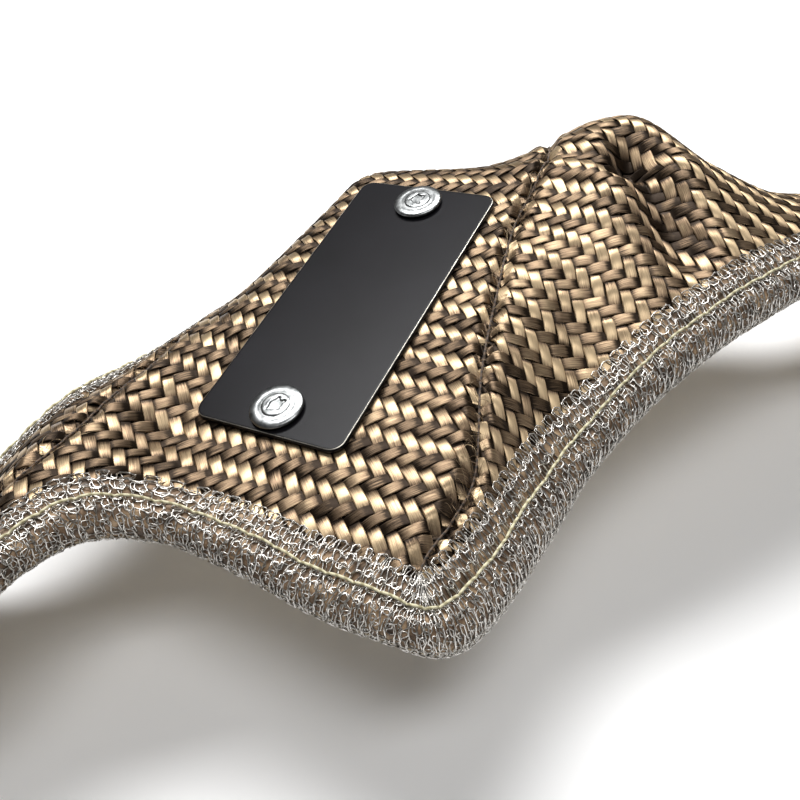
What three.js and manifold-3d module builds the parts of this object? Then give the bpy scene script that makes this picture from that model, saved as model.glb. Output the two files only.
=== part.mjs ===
// Turbo heat blanket: an arched, padded hood that lies over a turbine housing.
// Three panels of basalt cloth, a needled mat and an inner liner are stacked, bound round the
// whole edge with a folded strip of knitted wire, stitched through, and carry a riveted name plate.
// Millimetres, +Z up. The plan is X right, Y away from the viewer.
import * as THREE from 'three';
import { mergeVertices } from 'three/addons/utils/BufferGeometryUtils.js';
import Module from 'manifold-3d';

const wasm = await Module();
wasm.setup();

// Layers, measured down from the cloth's valley level
const clearance = 0.3; // air left between pieces that touch
const coverThickness = 1.0;
const twillRidge = 0.35; // height of a twill rib over the valley between ribs
const twillSpacing = 7.07; // rib to rib, four tows of 2.5 mm on the diagonal
const twillHeading = -30; // degrees, plan direction of the ribs
const matThickness = 5.5; // in the middle of the blanket
const matEdgeThickness = 2.6; // pressed flat inside the binding
const linerThickness = 0.9;
const bindingWall = 0.9; // two layers of knitted wire
const bindingWidth = 10.5; // how far the binding reaches in over the cloth
const threadSize = 0.8; // binding thread
const threadInset = 4.8; // from the outer edge to the stitch line
const seamThreadSize = 0.5;
const maxLayerSlant = 1.5; // limit for how much a steep layer is thickened vertically

// Name plate and its rivets
const plateLength = 76;
const plateWidth = 34.5;
const plateThickness = 1.0;
const plateCornerRadius = 3;
const plateCentre = { x: -27.5, y: 6, z: 53 }; // middle of its underside
const plateHeading = 63.4; // degrees, plan direction of the long side
const plateSlope = { x: 0.224, y: 0.143 }; // rise of its plane for each millimetre of plan
const plateSeatFade = 12; // how far round the plate the cloth is still pressed flat
const rivetInset = 7.5; // from the plate's short side to the rivet's axis
const rivetShankRadius = 2.0;
const rivetClinchRadius = 3.0;
const rivetClinchHeight = 0.7;
const rivetHeadRadius = 5.0;
const rivetHeadThickness = 0.9;
const washerRadius = 5.55;
const washerThickness = 1.1;

// Folds that stand on the plain form
const rollRadius = 18; // how softly the crest rolls over to the far side
const dartStart = { x: -15.5, y: -63 };
const dartEnd = { x: 17, y: 49 };
const dartRise = 9;
const dartWidth = 18;
const foldStart = { x: 35, y: 41 };
const foldEnd = { x: 48, y: 8 };
const foldDepth = 3;
const foldWidth = 7;

// Mesh of the form, lined up with the twill ribs
const rowStep = twillSpacing;
const columnStep = 14;
const reach = 230; // half size of the square that the mesh covers before it is cut out
const stepsPerEdgePoint = 2;
const drillHeight = 60;

// The feet lie flat on the table, so their top is one bound edge high
const edgeStack = coverThickness + matEdgeThickness + linerThickness + 3 * clearance;
const footHeight = edgeStack + bindingWall;

// Sections along the blanket: [x, crest y, crest height, slope to the near side, slope to the far side]
const sections = [
  [-150, -58, footHeight, 0, 0],
  [-126, -50, footHeight, 0, 0],
  [-113, -44, 18, 0.04, 0.25],
  [-98, -35, 36, 0.1, 0.55],
  [-84, -24, 45, 0.12, 0.75],
  [-61, 12, 43.5, 0.33, 1.1],
  [-38, 39, 50.5, 0.35, 1.2],
  [-18, 53, 57, 0.24, 1.2],
  [2, 53, 60, 0.35, 1.2],
  [20, 49, 67, 0.57, 1.15],
  [36, 50, 75, 0.62, 1.15],
  [54, 42, 67, 0.54, 1.1],
  [70, 41, 60, 0.38, 1.0],
  [84, 44, 57, 0.24, 0.85],
  [100, 50, 41, 0.1, 0.5],
  [114, 56, 16, 0.02, 0.1],
  [124, 60, footHeight, 0, 0],
  [150, 68, footHeight, 0, 0],
];

// Outer edge in plan, anticlockwise from the left foot: two scalloped near sides that meet in a
// drooping tab, the right foot, and one long far side
const edgePoints = [
  [-148, -80], [-122, -83], [-101, -83], [-91, -78], [-86, -71], [-79, -59], [-71, -50.5], [-62, -47.6],
  [-54, -50], [-34.5, -61], [-24, -67.2], [-17, -70.6], [-12, -70.6], [-7, -67.5], [0.2, -59], [11.7, -40.5],
  [20, -28.5], [34, -16.2], [50, -5], [69, 8], [84, 18], [102, 30], [124, 39], [149, 44],
  [154, 48], [156, 66], [153, 87], [148, 90.5], [124, 86], [104, 78], [84, 73], [56, 75],
  [26, 78], [-2, 74], [-20, 68], [-40, 54], [-56, 37], [-68, 20], [-77, 3], [-86, -10],
  [-99, -20.5], [-122, -31], [-147, -37], [-152, -41], [-154, -58], [-152, -76],
];

// Seams in plan: the arm seam parts the back panel from the tag panel, the dart seam runs from
// the tab up over the hump
const armSeamPoints = [
  [-175, -62], [-120, -58], [-98, -47], [-87, -40], [-80, -27], [-76, -14], [-69, 2], [-62, 40], [-60, 60],
];
const dartSeamPoints = [
  [-18, -90], [-15.5, -62], [-9, -50], [-4.5, -40], [-2.5, -20], [1.5, 0], [7, 22], [14, 38], [18, 52], [24, 110],
];

// Monotone curve through one column of the sections
function sectionValue(column, x) {
  const last = sections.length - 1;
  const at = THREE.MathUtils.clamp(x, sections[0][0], sections[last][0]);
  let k = 0;
  while (k < last - 1 && at > sections[k + 1][0]) k += 1;
  const width = (i) => sections[i + 1][0] - sections[i][0];
  const secant = (i) => (sections[i + 1][column] - sections[i][column]) / width(i);
  const tangent = (i) => {
    if (i === 0 || i === last || secant(i - 1) * secant(i) <= 0) return 0;
    const before = 2 * width(i) + width(i - 1);
    const after = width(i) + 2 * width(i - 1);
    return (before + after) / (before / secant(i - 1) + after / secant(i));
  };
  const h = width(k);
  const t = (at - sections[k][0]) / h;
  const rise = sections[k][column] * (1 + 2 * t) * (1 - t) ** 2 + sections[k + 1][column] * t * t * (3 - 2 * t);
  return rise + h * tangent(k) * t * (1 - t) ** 2 + h * tangent(k + 1) * t * t * (t - 1);
}

// The form without its folds: each section is a hyperbola that blends the near slope into the far one
function plainHeight(x, y) {
  const near = sectionValue(3, x);
  const far = sectionValue(4, x);
  const slantOfCrest = 1 - 0.3 / (1 + Math.exp((x + 26) / 5));
  const across = (y - sectionValue(1, x)) * slantOfCrest;
  const bend = Math.hypot(across, rollRadius) - rollRadius;
  return sectionValue(2, x) - 0.5 * (far - near) * across - 0.5 * (far + near) * bend;
}

// Share of the way along a fold line, and distance beside it
function beside(start, end, x, y) {
  const length = Math.hypot(end.x - start.x, end.y - start.y);
  const dx = (end.x - start.x) / length;
  const dy = (end.y - start.y) / length;
  const share = ((x - start.x) * dx + (y - start.y) * dy) / length;
  const off = (x - start.x) * dy - (y - start.y) * dx;
  return { share, off };
}

// Place in the plate's plan axes, and the height of the plate's underside
const plateTurn = THREE.MathUtils.degToRad(plateHeading);
const intoPlate = (x, y) => ({
  along: (x - plateCentre.x) * Math.cos(plateTurn) + (y - plateCentre.y) * Math.sin(plateTurn),
  over: -(x - plateCentre.x) * Math.sin(plateTurn) + (y - plateCentre.y) * Math.cos(plateTurn),
});
const plateUnderside = (x, y) =>
  plateCentre.z + plateSlope.x * (x - plateCentre.x) + plateSlope.y * (y - plateCentre.y);

// The rivets press the cloth flat against the plate: all of it under the plate, fading out round it
function pressedFlat(x, y, height) {
  const { along, over } = intoPlate(x, y);
  const past = Math.hypot(
    Math.max(Math.abs(along) - plateLength / 2, 0),
    Math.max(Math.abs(over) - plateWidth / 2 - 0.7 * columnStep, 0),
  );
  const seat = plateUnderside(x, y) - clearance - twillRidge;
  return THREE.MathUtils.lerp(height, seat, Math.exp(-((past / plateSeatFade) ** 2)));
}

// The dart makes a soft ridge from tab to hump, and the slack cloth beside the hump a valley fold
function clothHeight(x, y) {
  const dart = beside(dartStart, dartEnd, x, y);
  const fold = beside(foldStart, foldEnd, x, y);
  const dartBump = Math.sin(Math.PI * THREE.MathUtils.clamp(dart.share, 0, 1) ** 0.9);
  const ridge = dartRise * dartBump * Math.exp((-1.6 * Math.hypot(dart.off, 3)) / dartWidth);
  const valley = foldDepth * Math.exp(-(((fold.share - 0.35) / 0.5) ** 2) - (fold.off / foldWidth) ** 2);
  return pressedFlat(x, y, plainHeight(x, y) + ridge - valley);
}

// A layer on a slope is taller than it is thick, but never so tall that it dips below the feet
function slant(x, y) {
  const d = 0.5;
  const dzdx = (plainHeight(x + d, y) - plainHeight(x - d, y)) / (2 * d);
  const dzdy = (plainHeight(x, y + d) - plainHeight(x, y - d)) / (2 * d);
  return Math.min(Math.hypot(1, dzdx, dzdy), maxLayerSlant, plainHeight(x, y) / footHeight);
}

// Outline, distance to it, and loops inside it
const edgeCurve = new THREE.CatmullRomCurve3(edgePoints.map(([x, y]) => new THREE.Vector3(x, y, 0)), true);
const outline = edgeCurve.getPoints(edgePoints.length * stepsPerEdgePoint).slice(0, -1);

function edgeDistance(x, y) {
  let best = Infinity;
  for (let i = 0; i < outline.length; i += 1) {
    const a = outline[i];
    const b = outline[(i + 1) % outline.length];
    const span = (b.x - a.x) ** 2 + (b.y - a.y) ** 2;
    const t = THREE.MathUtils.clamp(((x - a.x) * (b.x - a.x) + (y - a.y) * (b.y - a.y)) / span, 0, 1);
    best = Math.min(best, Math.hypot(x - a.x - t * (b.x - a.x), y - a.y - t * (b.y - a.y)));
  }
  return best;
}

function insetLoop(inset) {
  if (inset === 0) return outline.map((p) => new THREE.Vector2(p.x, p.y));
  const loop = [];
  outline.forEach((p, i) => {
    const before = outline[(i + outline.length - 1) % outline.length];
    const after = outline[(i + 1) % outline.length];
    const length = Math.hypot(after.x - before.x, after.y - before.y);
    const x = p.x - (inset * (after.y - before.y)) / length;
    const y = p.y + (inset * (after.x - before.x)) / length;
    if (edgeDistance(x, y) > inset - 0.1) loop.push(new THREE.Vector2(x, y));
  });
  return loop;
}

// Closed geometry to solid and back
function solidOf(geometry) {
  const bare = geometry.clone();
  bare.deleteAttribute('normal');
  bare.deleteAttribute('uv');
  const merged = mergeVertices(bare, 1e-4);
  return new wasm.Manifold(
    new wasm.Mesh({
      numProp: 3,
      vertProperties: new Float32Array(merged.attributes.position.array),
      triVerts: new Uint32Array(merged.index.array),
    }),
  );
}

function geometryOf(solid) {
  const mesh = solid.getMesh();
  const geometry = new THREE.BufferGeometry();
  geometry.setAttribute('position', new THREE.BufferAttribute(new Float32Array(mesh.vertProperties), 3));
  geometry.setIndex(new THREE.BufferAttribute(new Uint32Array(mesh.triVerts), 1));
  geometry.computeVertexNormals();
  return geometry;
}

// A tall prism over a plan outline, to cut a layer out
function prism(points) {
  const geometry = new THREE.ExtrudeGeometry(new THREE.Shape(points), { depth: 2 * reach, bevelEnabled: false });
  geometry.translate(0, 0, -reach);
  return solidOf(geometry);
}

// Grid of the form: rows lie along the twill ribs, and every second row is a rib
const heading = THREE.MathUtils.degToRad(twillHeading);
const columns = Math.ceil(reach / columnStep);
const rows = Math.ceil(reach / rowStep);

function gridPoint(i, j) {
  const along = i * columnStep;
  const over = j * rowStep;
  const x = along * Math.cos(heading) - over * Math.sin(heading);
  const y = along * Math.sin(heading) + over * Math.cos(heading);
  return { x, y, base: clothHeight(x, y), tall: slant(x, y), inside: edgeDistance(x, y) };
}

const grid = [];
for (let j = -rows; j <= rows; j += 1) {
  const row = [];
  for (let i = -columns; i <= columns; i += 1) row.push(gridPoint(i, j));
  grid.push(row);
}

// Height of the form and its slant factor, between the grid's points
function formAt(x, y) {
  const along = (x * Math.cos(heading) + y * Math.sin(heading)) / columnStep;
  const over = (-x * Math.sin(heading) + y * Math.cos(heading)) / rowStep;
  const i = Math.floor(along) + columns;
  const j = Math.floor(over) + rows;
  const { lerp } = THREE.MathUtils;
  const u = along - Math.floor(along);
  const v = over - Math.floor(over);
  const mix = (key) =>
    lerp(lerp(grid[j][i][key], grid[j][i + 1][key], u), lerp(grid[j + 1][i][key], grid[j + 1][i + 1][key], u), v);
  return { base: mix('base'), tall: mix('tall') };
}

const levelOf = (depth) => (point) => point.base + depth * point.tall;

function halfway(a, b) {
  const middle = {};
  for (const key of Object.keys(a)) middle[key] = (a[key] + b[key]) / 2;
  return middle;
}

// A layer over the whole grid between two levels. Each cell folds along its higher diagonal, so
// that every layer has the same facets, and a ribbed layer, with a rib between two rows, stays under them
function slab(top, bottom, ribHeight = 0) {
  const lines = [];
  grid.forEach((row, j) => {
    lines.push({ points: row, rib: 0 });
    if (ribHeight > 0 && j + 1 < grid.length) {
      lines.push({ points: row.map((point, i) => halfway(point, grid[j + 1][i])), rib: ribHeight });
    }
  });
  const across = lines[0].points.length;
  const count = across * lines.length;
  const positions = new Float32Array(2 * count * 3);
  lines.forEach((line, j) => {
    line.points.forEach((point, i) => {
      const n = j * across + i;
      positions.set([point.x, point.y, top(point) + line.rib], 3 * n);
      positions.set([point.x, point.y, bottom(point)], 3 * (count + n));
    });
  });
  const index = [];
  const quad = (a, b, c, d) => index.push(a, b, c, a, c, d);
  for (let j = 0; j + 1 < lines.length; j += 1) {
    for (let i = 0; i + 1 < across; i += 1) {
      const corners = [j * across + i, j * across + i + 1, (j + 1) * across + i + 1, (j + 1) * across + i];
      const [a, b, c, d] = [lines[j].points[i], lines[j].points[i + 1], lines[j + 1].points[i + 1], lines[j + 1].points[i]];
      const turn = a.base + c.base >= b.base + d.base ? 0 : 1;
      const [k, l, m, n] = [0, 1, 2, 3].map((corner) => corners[(corner + turn) % 4]);
      quad(k, l, m, n);
      quad(count + k, count + n, count + m, count + l);
    }
  }
  for (let j = 0; j + 1 < lines.length; j += 1) {
    const left = j * across;
    const right = left + across - 1;
    quad(left, left + across, count + left + across, count + left);
    quad(right, count + right, count + right + across, right + across);
  }
  for (let i = 0; i + 1 < across; i += 1) {
    const far = (lines.length - 1) * across + i;
    quad(i, count + i, count + i + 1, i + 1);
    quad(far, far + 1, count + far + 1, count + far);
  }
  const geometry = new THREE.BufferGeometry();
  geometry.setAttribute('position', new THREE.BufferAttribute(positions, 3));
  geometry.setIndex(index);
  return solidOf(geometry);
}

// Levels of the stack
const coverBottom = -coverThickness;
const matTop = coverBottom - clearance;
const bindingTop = twillRidge + clearance + bindingWall;
const bindingUnderTop = twillRidge + clearance;
const bindingOverBottom = -edgeStack;
const bindingBottom = -footHeight;

// The mat grows to its full thickness well inside the binding
function matBottom(point) {
  const start = bindingWidth + Math.hypot(rowStep, columnStep);
  const share = THREE.MathUtils.smoothstep(point.inside, start, start + columnStep);
  return matTop - matEdgeThickness - share * (matThickness - matEdgeThickness);
}
const matUnderside = (point) => levelOf(matBottom(point))(point);
const linerTop = (point) => levelOf(matBottom(point) - clearance)(point);
const linerUnderside = (point) => levelOf(matBottom(point) - clearance - linerThickness)(point);

const outerPrism = prism(insetLoop(0));
const bindingInnerPrism = prism(insetLoop(bindingWall));
const layerPrism = prism(insetLoop(bindingWall + clearance));
const openingPrism = prism(insetLoop(bindingWidth));

// Region on one side of a seam, pushed sideways, closed far outside the blanket
function seamRegion(points, push, far) {
  const curve = new THREE.SplineCurve(points.map(([x, y]) => new THREE.Vector2(x, y)));
  const line = curve.getPoints(points.length * 3).map((p, i, all) => {
    const before = all[Math.max(i - 1, 0)];
    const after = all[Math.min(i + 1, all.length - 1)];
    const length = before.distanceTo(after);
    return new THREE.Vector2(p.x - (push * (after.y - before.y)) / length, p.y + (push * (after.x - before.x)) / length);
  });
  return prism([...line, ...far.map(([x, y]) => new THREE.Vector2(x, y))]);
}

const backCorner = [[-60, 200], [-200, 200], [-200, -62]];
const rightCorner = [[200, 110], [200, -90]];
const seamHalf = seamThreadSize / 2;
const seamGap = seamHalf + clearance;

// Cover panels: ribbed on top, smooth below
const cover = slab(levelOf(0), levelOf(-reach), twillRidge)
  .intersect(slab(levelOf(reach), levelOf(coverBottom)))
  .intersect(layerPrism);
const backPanel = cover.intersect(seamRegion(armSeamPoints, seamGap, backCorner));
const rightPanel = cover.intersect(seamRegion(dartSeamPoints, -seamGap, rightCorner));
const tagPanel = cover
  .subtract(seamRegion(armSeamPoints, -seamGap, backCorner))
  .subtract(seamRegion(dartSeamPoints, seamGap, rightCorner));

// Seam threads run in the seams, level with the cloth
const seamLayer = slab(levelOf(coverBottom + seamThreadSize + 0.1), levelOf(coverBottom + 0.1)).intersect(layerPrism);
const armSeamThread = seamLayer
  .intersect(seamRegion(armSeamPoints, -seamHalf, backCorner))
  .subtract(seamRegion(armSeamPoints, seamHalf, backCorner));
const dartSeamThread = seamLayer
  .intersect(seamRegion(dartSeamPoints, seamHalf, rightCorner))
  .subtract(seamRegion(dartSeamPoints, -seamHalf, rightCorner));

// Padding and lining
const mat = slab(levelOf(matTop), matUnderside).intersect(layerPrism);
const liner = slab(linerTop, linerUnderside).intersect(layerPrism);

// Binding: a folded strip with a slot for the stack
const binding = slab(levelOf(bindingTop), levelOf(bindingBottom))
  .intersect(outerPrism)
  .subtract(slab(levelOf(bindingUnderTop), levelOf(bindingOverBottom)).intersect(bindingInnerPrism))
  .subtract(openingPrism);

// The needle thread lies on the binding
const threadOuter = prism(insetLoop(threadInset - threadSize / 2));
const threadInner = prism(insetLoop(threadInset + threadSize / 2));
const needleThread = slab(levelOf(bindingTop + clearance + threadSize), levelOf(bindingTop + clearance))
  .intersect(threadOuter)
  .subtract(threadInner);

// Frame of the plate: origin on its underside, X along, Z out of the cloth
const plateAlong = new THREE.Vector3(
  Math.cos(plateTurn),
  Math.sin(plateTurn),
  plateSlope.x * Math.cos(plateTurn) + plateSlope.y * Math.sin(plateTurn),
).normalize();
const plateOut = new THREE.Vector3(-plateSlope.x, -plateSlope.y, 1).normalize();
const plateOver = new THREE.Vector3().crossVectors(plateOut, plateAlong);
const plateFrame = new THREE.Matrix4()
  .makeBasis(plateAlong, plateOver, plateOut)
  .setPosition(plateCentre.x, plateCentre.y, plateCentre.z);

function roundedPlate() {
  const x = plateLength / 2;
  const y = plateWidth / 2;
  const r = plateCornerRadius;
  const shape = new THREE.Shape();
  shape.absarc(x - r, y - r, r, 0, Math.PI / 2);
  shape.absarc(-x + r, y - r, r, Math.PI / 2, Math.PI);
  shape.absarc(-x + r, -y + r, r, Math.PI, 1.5 * Math.PI);
  shape.absarc(x - r, -y + r, r, 1.5 * Math.PI, 2 * Math.PI);
  shape.closePath();
  return solidOf(new THREE.ExtrudeGeometry(shape, { depth: plateThickness, bevelEnabled: false, curveSegments: 5 }));
}

// A turned piece on the plate's normal, its profile given as [radius, height] from and to the axis
function turned(profile, segments = 20) {
  const geometry = new THREE.LatheGeometry(profile.map(([r, z]) => new THREE.Vector2(r, z)), segments);
  geometry.rotateX(Math.PI / 2);
  return solidOf(geometry);
}

const rivetSeats = [
  { name: 'near', along: -(plateLength / 2 - rivetInset) },
  { name: 'far', along: plateLength / 2 - rivetInset },
];
const holeRadius = rivetShankRadius + clearance;
const drill = turned([[0, -drillHeight], [holeRadius, -drillHeight], [holeRadius, drillHeight], [0, drillHeight]]);
const placeRivet = (solid, seat) => solid.translate([seat.along, 0, 0]);

// How far the liner's underside lies below the plate at a rivet, with its lowest point under the head
function linerDepth(seat) {
  let depth = 0;
  for (let turn = 0; turn < 12; turn += 1) {
    const angle = (turn / 12) * 2 * Math.PI;
    const rim = new THREE.Vector3(
      seat.along + rivetHeadRadius * Math.cos(angle),
      rivetHeadRadius * Math.sin(angle),
      0,
    ).applyMatrix4(plateFrame);
    const form = formAt(rim.x, rim.y);
    const under = matTop - matThickness - clearance - linerThickness;
    depth = Math.max(depth, (rim.z - form.base - under * form.tall) * plateOut.z);
  }
  return depth + clearance;
}

function rivet(seat) {
  const depth = linerDepth(seat);
  const seatTop = plateThickness + clearance + washerThickness + clearance;
  return turned([
    [0, -depth - rivetHeadThickness],
    [rivetHeadRadius - 0.4, -depth - rivetHeadThickness],
    [rivetHeadRadius, -depth - rivetHeadThickness + 0.4],
    [rivetHeadRadius, -depth],
    [rivetShankRadius, -depth],
    [rivetShankRadius, seatTop],
    [rivetClinchRadius, seatTop],
    [rivetClinchRadius - 0.3, seatTop + rivetClinchHeight],
    [rivetShankRadius - 0.5, seatTop + rivetClinchHeight],
    [rivetShankRadius - 0.9, seatTop - 0.6],
    [0, seatTop - 0.6],
  ]);
}

function washer() {
  const low = plateThickness + clearance;
  const top = low + washerThickness;
  return turned([
    [holeRadius, low],
    [washerRadius, low],
    [washerRadius, low + 0.35],
    [washerRadius - 0.5, low + 0.75],
    [rivetClinchRadius + 0.6, top],
    [holeRadius, top],
    [holeRadius, low],
  ], 24);
}

const inPlateFrame = (solid) => solid.transform(plateFrame.elements);
const holes = rivetSeats.map((seat) => inPlateFrame(placeRivet(drill, seat)));
const drilled = (solid) => holes.reduce((left, hole) => left.subtract(hole), solid);

// Materials
function material(color, roughness, metalness = 0) {
  return new THREE.MeshStandardMaterial({ color, roughness, metalness });
}

const basalt = () => material(0x8c7459, 0.6);
const wireKnit = () => material(0x8d8983, 0.4, 0.8);
const aramid = () => material(0xe6dc8c, 0.7);
const zinc = () => material(0xd8dadb, 0.3, 0.9);

// The blanket's box is centred over the origin
const boxOfPlan = new THREE.Box2().setFromPoints(outline.map((p) => new THREE.Vector2(p.x, p.y)));
const centre = boxOfPlan.getCenter(new THREE.Vector2());
const group = new THREE.Group();
group.position.set(-centre.x, -centre.y, 0);

function add(name, solid, look) {
  const mesh = new THREE.Mesh(geometryOf(solid), look);
  mesh.name = name;
  group.add(mesh);
}

add('cover_panel_back', drilled(backPanel), basalt());
add('cover_panel_tag', drilled(tagPanel), basalt());
add('cover_panel_right', drilled(rightPanel), basalt());
add('arm_seam_thread', armSeamThread, aramid());
add('dart_seam_thread', dartSeamThread, aramid());
add('insulation_mat', drilled(mat), material(0xd9d2c2, 0.95));
add('inner_liner', drilled(liner), material(0xb9ab91, 0.8));
add('edge_binding', binding, wireKnit());
add('binding_needle_thread', needleThread, aramid());
add('name_plate', drilled(inPlateFrame(roundedPlate())), material(0x2f2e32, 0.35, 0.9));
for (const seat of rivetSeats) {
  add(`rivet_washer_${seat.name}`, inPlateFrame(placeRivet(washer(), seat)), zinc());
  add(`rivet_${seat.name}`, inPlateFrame(placeRivet(rivet(seat), seat)), zinc());
}

export default group;
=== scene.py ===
"""Looks of the turbo heat blanket: woven basalt panels, knitted wire binding, plate and rivets.

Shapes are worked out in millimetres in the plan axes of the part's source and become metres in
the shared frame when a mesh is made. A level is a height over the form, stretched on slopes.
"""

import math

import bpy
import numpy as np
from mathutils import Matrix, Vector


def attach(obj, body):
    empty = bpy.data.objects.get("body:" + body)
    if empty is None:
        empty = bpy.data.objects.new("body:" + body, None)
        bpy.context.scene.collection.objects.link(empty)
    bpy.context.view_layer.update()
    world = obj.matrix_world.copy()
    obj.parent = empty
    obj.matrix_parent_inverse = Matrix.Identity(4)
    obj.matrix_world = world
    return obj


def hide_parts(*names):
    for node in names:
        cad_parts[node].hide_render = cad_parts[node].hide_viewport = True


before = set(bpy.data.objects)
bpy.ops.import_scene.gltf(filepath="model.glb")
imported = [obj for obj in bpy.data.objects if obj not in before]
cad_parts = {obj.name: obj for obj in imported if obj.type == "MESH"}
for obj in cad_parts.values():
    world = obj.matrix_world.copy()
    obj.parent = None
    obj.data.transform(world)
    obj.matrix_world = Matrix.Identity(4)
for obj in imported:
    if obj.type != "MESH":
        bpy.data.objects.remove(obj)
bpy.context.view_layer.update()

MM = 0.001
PLAN_CENTRE = np.array([1.0, 3.423, 0.0])

# Form and outline of the part's source, with the far edge, hump and rivets nearer to the photo
CLEARANCE = 0.3
COVER_THICKNESS = 1.0
MAT_THICKNESS = 5.5
MAT_EDGE_THICKNESS = 2.6
LINER_THICKNESS = 0.9
BINDING_WIDTH = 10.5
MAX_SLANT = 1.5
FOOT_HEIGHT = 6.3
ROLL_RADIUS = 18
PLATE_LENGTH = 76
PLATE_WIDTH = 34.5
PLATE_CORNER = 3
PLATE_CENTRE = np.array([-27.5, 6.0, 53.0])
PLATE_HEADING = math.radians(63.4)
PLATE_SLOPE = np.array([0.224, 0.143])
PLATE_FADE = 12
PLATE_SEAT = 0.65  # cloth level below the plate's underside
PLATE_FLAT_NEAR = 9.8  # flat cloth beyond the plate's near side
PLATE_FLAT_FAR = 1  # and beyond its far side
PLATE_FALL_FAR = 1.4  # how much sooner the cloth falls away there
RIVET_INSET = 6.0
DART_START = (-15.5, -63)
DART_END = (17, 49)
DART_RISE = 9
DART_WIDTH = 18
SECTIONS = np.array(
    [
        [-150, -58, FOOT_HEIGHT, 0, 0],
        [-126, -50, FOOT_HEIGHT, 0, 0],
        [-113, -44, 18, 0.04, 0.25],
        [-98, -35, 36, 0.1, 0.55],
        [-84, -24, 45, 0.12, 0.85],
        [-61, 12, 43.5, 0.33, 1.25],
        [-38, 39, 50.5, 0.35, 1.3],
        [-18, 53, 57, 0.24, 1.2],
        [2, 53, 60, 0.35, 1.2],
        [20, 49, 69.5, 0.58, 1.15],
        [28, 49.5, 73.8, 0.62, 1.15],
        [36, 50, 75, 0.62, 1.15],
        [54, 42, 67, 0.54, 1.1],
        [70, 41, 60, 0.38, 1.0],
        [84, 44, 57, 0.24, 0.85],
        [100, 50, 41, 0.1, 0.5],
        [114, 56, 16, 0.02, 0.1],
        [124, 60, FOOT_HEIGHT, 0, 0],
        [150, 68, FOOT_HEIGHT, 0, 0],
    ]
)
EDGE_POINTS = [
    [-148, -80], [-122, -83], [-101, -83], [-91, -78], [-86, -71], [-79, -59], [-71, -50.5],
    [-62, -47.6], [-54, -50], [-34.5, -61], [-24, -67.2], [-17, -70.6], [-12, -70.6], [-7, -67.5],
    [0.2, -59], [11.7, -40.5], [20, -28.5], [34, -16.2], [50, -5], [69, 8], [84, 18], [102, 30],
    [124, 39], [149, 44], [154, 48], [156, 66], [153, 87], [148, 90.5], [124, 86], [104, 78],
    [84, 73], [56, 75], [26, 79], [-3, 78], [-24, 74], [-46.5, 60.5], [-63, 43.5], [-75.5, 26],
    [-84.5, 8.5], [-92, -6], [-102, -18.5], [-122, -31], [-147, -37], [-152, -41], [-154, -58], [-152, -76],
]
ARM_SEAM_POINTS = [
    [-175, -62], [-120, -58], [-98, -47], [-87, -40], [-80, -27], [-76, -14], [-69, 2], [-62, 40],
    [-60, 60],
]
DART_SEAM_POINTS = [
    [-18, -90], [-15.5, -62], [-9, -50], [-4.5, -40], [-2.5, -20], [1.5, 0], [7, 22], [14, 38], [18, 52],
    [24, 110],
]

# Slack cloth on the hump: valleys as start, end, depth and width, and puffs as place, rise and width
PLEATS = [
    [(34, 41), (43, 9), 6.5, 6],
    [(12, 47), (22, 41), 1.8, 2.5],
    [(22, 41), (30, 31), 2.4, 2.5],
    [(29, 31), (35, 38), 2.4, 2.5],
]
PUFFS = [[(34.5, 38), -4.0, 5], [(22, 29), 2.2, 9], [(45, 33), 1.5, 6]]

# Sizes that only the looks have
TOW_PITCH = 2.5
# The weft's darker tone is painted shade and the warp's paler tone is painted light, on one and the same tow
DIRECTION_PAINTED_SHADE_AND_LIGHT = (-0.13, 0.17)  # how much darker the weft looks, and how much paler the warp
TOW_MIDDLE = -0.2  # level at which the two sets of tows cross
TOW_SWING = 0.34  # how far a tow's middle swings up and down
TOW_HALF_THICKNESS = 0.17
PANEL_INSET = 7.2  # from the blanket's edge to the tows' ends, which the binding covers
SEAM_GAP = 0.3  # from the middle of a seam to the tows' ends
LEFT_TIP = (-154, -58)
RIGHT_TIP = (156, 66)
WIRE_RADIUS = 0.15
STITCH_INSET = 4.8
STITCH_LENGTH = 5.5

# Camera
camera_data = bpy.data.cameras.new("camera")
camera_data.lens = 42.17
camera_data.clip_start = 0.005
camera = bpy.data.objects.new("camera", camera_data)
camera.location = (-0.019, -0.16342, 0.165)
camera.rotation_euler = (math.radians(50), 0, 0)
bpy.context.scene.collection.objects.link(camera)
bpy.context.scene.camera = camera
bpy.context.scene.view_settings.view_transform = "Standard"


# Form


def section_curve(column):
    """Monotone cubic through one column of the sections: a weighted harmonic mean gives the slopes."""
    x, value = SECTIONS[:, 0], SECTIONS[:, column]
    width = np.diff(x)
    secant = np.diff(value) / width
    before = 2 * width[1:] + width[:-1]
    after = width[1:] + 2 * width[:-1]
    turning = secant[:-1] * secant[1:] <= 0
    left = np.where(turning, 1, secant[:-1])
    right = np.where(turning, 1, secant[1:])
    inner = np.where(turning, 0, (before + after) / (before / left + after / right))
    tangent = np.concatenate([[0], inner, [0]])

    def at(place):
        place = np.clip(place, x[0], x[-1])
        k = np.clip(np.searchsorted(x, place, side="right") - 1, 0, len(width) - 1)
        t = (place - x[k]) / width[k]
        rise = value[k] * (1 + 2 * t) * (1 - t) ** 2 + value[k + 1] * t**2 * (3 - 2 * t)
        lean = tangent[k] * t * (1 - t) ** 2 + tangent[k + 1] * t**2 * (t - 1)
        return rise + width[k] * lean

    return at


crest_y, crest_z, near_slope, far_slope = [section_curve(column) for column in (1, 2, 3, 4)]


def plain_height(x, y):
    """Form without folds: a hyperbola across each section that blends the near slope into the far one."""
    near, far = near_slope(x), far_slope(x)
    across = (y - crest_y(x)) * (1 - 0.3 / (1 + np.exp((x + 26) / 5)))
    bend = np.hypot(across, ROLL_RADIUS) - ROLL_RADIUS
    return crest_z(x) - 0.5 * (far - near) * across - 0.5 * (far + near) * bend


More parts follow.
